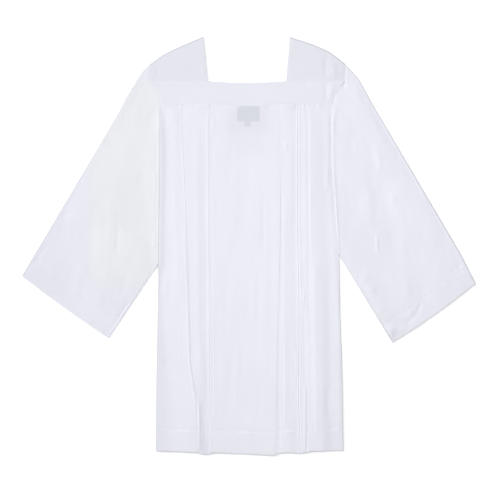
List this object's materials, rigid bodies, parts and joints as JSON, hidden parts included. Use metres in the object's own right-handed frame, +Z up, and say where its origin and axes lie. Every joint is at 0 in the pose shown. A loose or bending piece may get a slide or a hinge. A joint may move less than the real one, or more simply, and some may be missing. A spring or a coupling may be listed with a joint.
{
  "type": "surplice",
  "caption": "White choir and server's surplice laid out flat: square neck, banded yoke, pleated body and wide sleeves with hemmed cuffs.",
  "frame": {"origin": "on the surface that the garment lies on, under the middle of its outline", "axes": "+X across the garment to the right as it is seen from above, +Y along it from hem to neck, +Z up out of the surface"},
  "size_m": [0.9992, 0.9221, 0.0082],
  "materials": {
    "cloth": "plain-woven white polyester and cotton, pressed, slightly sheer, matte",
    "label": "woven pale grey-blue tape, plain, matte"
  },
  "bodies": {
    "root": {"back_panel": "cloth", "front_panel": "cloth", "back_yoke_band": "cloth", "front_yoke_band": "cloth", "left_shoulder_strap": "cloth", "right_shoulder_strap": "cloth", "left_sleeve": "cloth", "right_sleeve": "cloth", "label": "label", "size_tab": "label"}
  },
  "joints": []
}
